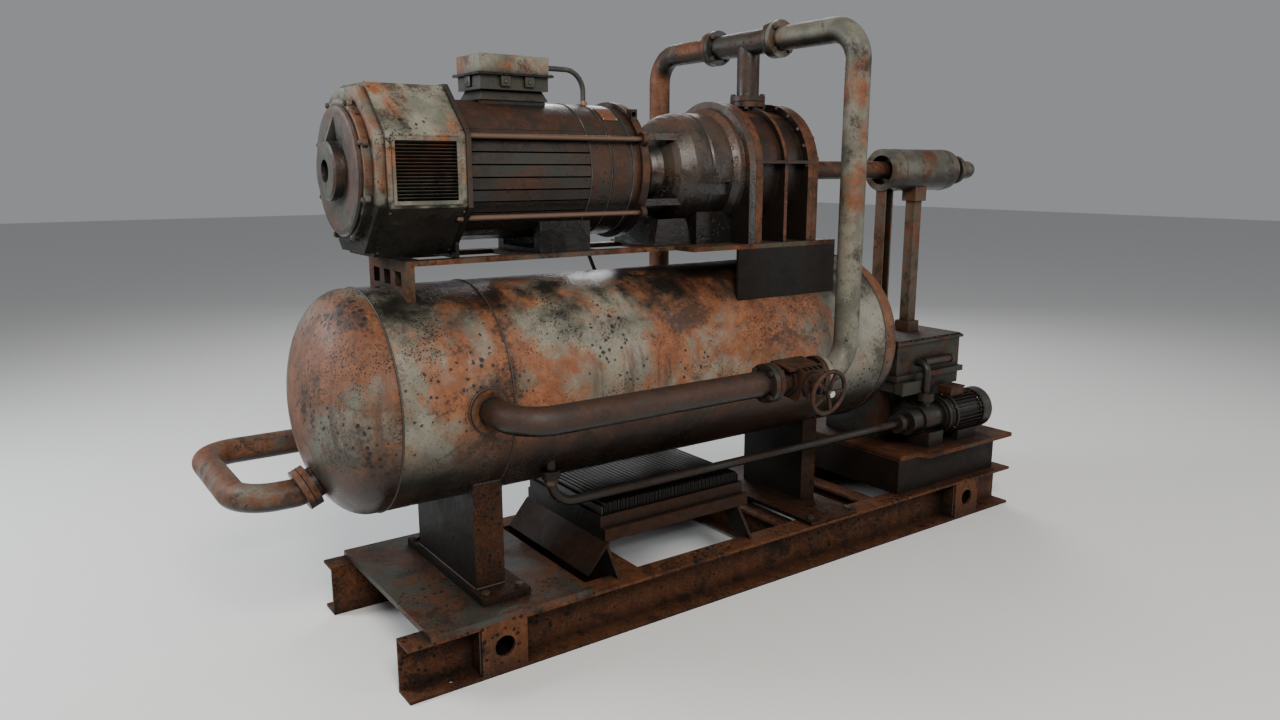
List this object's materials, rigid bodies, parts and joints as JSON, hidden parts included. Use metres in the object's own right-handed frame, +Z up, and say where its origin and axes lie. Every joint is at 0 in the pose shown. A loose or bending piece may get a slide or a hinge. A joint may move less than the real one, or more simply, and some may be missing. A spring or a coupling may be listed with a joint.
{
  "type": "refrigeration screw compressor package",
  "caption": "Skid-mounted screw compressor set: motor and rotary compressor in line above a horizontal oil separator, with capacity cylinder, loop piping, stop valve, oil tank and gear pump.",
  "frame": {"origin": "middle of the skid on the floor plane, centred between the four anchor holes", "axes": "+X along the skid from the motor end to the oil pump end, +Y away from the handwheel side, +Z up"},
  "size_m": [3.4834, 1.3611, 2.114],
  "materials": {
    "skid_paint": "faded grey-green paint over heavy brown rust",
    "vessel_paint": "sun-faded pale paint, orange rust bloom and dark pits",
    "pipe_steel": "dull brown oxidised pipe steel",
    "dark_steel": "dark greasy steel",
    "machine_paint": "weathered grey-green machine enamel",
    "casting_paint": "cast surface, faded paint, rust",
    "motor_paint": "weathered grey-green paint, rust on edges",
    "bright_steel": "ground steel",
    "copper_iron": "laminated iron with copper end windings",
    "fin_metal": "dark grimy finned metal",
    "bolt_steel": "rusty fasteners",
    "gasket": "dark fibre gasket",
    "rubber": "aged black rubber",
    "box_paint": "pale weathered enamel, rust at the edges"
  },
  "bodies": {
    "package": {"skid_frame": "skid_paint", "lifting_sockets": "skid_paint", "deck_plate": "skid_paint", "pedestals": "skid_paint", "pedestal_bolts": "bolt_steel", "vessel_shell": "vessel_paint", "vessel_heads": "vessel_paint", "vessel_nozzles": "vessel_paint", "separator_internals": "bright_steel", "main_pipe": "pipe_steel", "near_riser": "pipe_steel", "top_tee": "pipe_steel", "return_pipe": "pipe_steel", "pipe_gaskets": "gasket", "flange_bolts": "bolt_steel", "valve_body": "casting_paint", "valve_bonnet": "casting_paint", "cooler_frame": "dark_steel", "cooler_core": "fin_metal", "upper_frame": "skid_paint", "motor_frame": "motor_paint", "motor_end_shields": "motor_paint", "motor_cowl": "box_paint", "louvre_grilles": "box_paint", "end_cover": "motor_paint", "tie_rods": "bolt_steel", "junction_box": "box_paint", "junction_box_lid": "box_paint", "cable_glands": "dark_steel", "motor_lead": "rubber", "motor_stator": "copper_iron", "bell_housing": "casting_paint", "shaft_seal": "bright_steel", "compressor_casing": "casting_paint", "discharge_cover": "casting_paint", "shaft_bearings": "bright_steel", "capacity_cylinder": "box_paint", "end_plate_bolts": "bolt_steel", "cylinder_posts": "skid_paint", "oil_tank": "machine_paint", "tank_lid": "machine_paint", "tank_fittings": "machine_paint", "pump_frame": "skid_paint", "pump_casing": "dark_steel", "pump_lantern": "dark_steel", "pump_motor": "motor_paint", "oil_pipes": "dark_steel"},
    "main_drive": {"motor_rotor": "bright_steel", "cooling_fan": "fin_metal", "coupling_hubs": "dark_steel", "coupling_insert": "rubber", "male_rotor": "bright_steel"},
    "female_drive": {"female_rotor": "bright_steel"},
    "capacity_slide": {"slide_valve": "bright_steel", "capacity_piston": "bright_steel"},
    "valve_spindle": {"valve_stem": "bright_steel", "handwheel": "dark_steel"},
    "valve_plug": {"valve_disc": "bright_steel"},
    "pump_drive": {"pump_shaft": "bright_steel"},
    "pump_idler": {"idler_gear": "bright_steel"}
  },
  "joints": [
    {"name": "main_spin", "type": "hinge", "parent": "package", "child": "main_drive", "pos_m": [0, 0, 1.564], "axis": [1, 0, 0], "continuous": true},
    {"name": "female_spin", "type": "hinge", "parent": "package", "child": "female_drive", "pos_m": [0, 0.128, 1.564], "axis": [1, 0, 0], "continuous": true},
    {"name": "capacity_stroke", "type": "slide", "parent": "package", "child": "capacity_slide", "axis": [1, 0, 0], "range_m": [0, 0.045]},
    {"name": "valve_turn", "type": "hinge", "parent": "package", "child": "valve_spindle", "pos_m": [-0.1, -0.563, 0.852], "axis": [0, -0.9877, -0.1564], "range_deg": [0, 1800]},
    {"name": "valve_lift", "type": "slide", "parent": "package", "child": "valve_plug", "axis": [0, -0.9877, -0.1564], "range_m": [0, 0.02]},
    {"name": "pump_spin", "type": "hinge", "parent": "package", "child": "pump_drive", "pos_m": [1, -0.26, 0.465], "axis": [1, 0, 0], "continuous": true},
    {"name": "idler_spin", "type": "hinge", "parent": "package", "child": "pump_idler", "pos_m": [1, -0.19, 0.465], "axis": [1, 0, 0], "continuous": true}
  ],
  "couplings": [
    {"joint": "female_spin", "follows": "main_spin", "ratio": -0.83333},
    {"joint": "valve_lift", "follows": "valve_turn", "m_per_rad": 0.0006366},
    {"joint": "idler_spin", "follows": "pump_spin", "ratio": -1}
  ]
}
